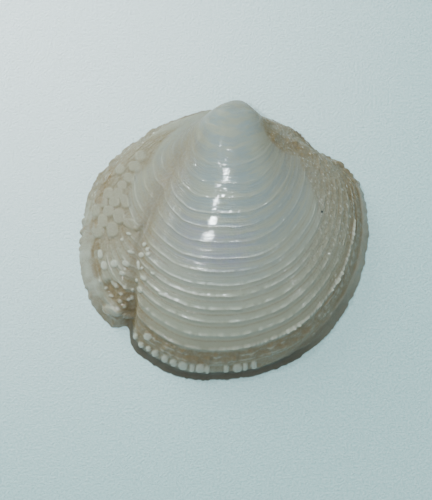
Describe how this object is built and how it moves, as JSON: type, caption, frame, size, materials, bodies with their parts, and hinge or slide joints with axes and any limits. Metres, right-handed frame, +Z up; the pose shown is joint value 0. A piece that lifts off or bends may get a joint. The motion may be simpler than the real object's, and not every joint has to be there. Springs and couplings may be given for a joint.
{
  "type": "clam shell valve",
  "caption": "Domed clam shell valve with concentric ridges, scaly rear lobe and notched lower margin, hollow inside.",
  "frame": {"origin": "on the resting plane, under the middle of the shell's footprint", "axes": "+Z up, out of the domed outside; +Y towards the beak and hinge; +X towards the shell's front end"},
  "size_m": [0.0304, 0.0294, 0.0073],
  "materials": {
    "shell": "glossy greyish white shell, stained brown in the grooves and along the margin"
  },
  "bodies": {
    "root": {"right_valve": "shell"}
  },
  "joints": []
}
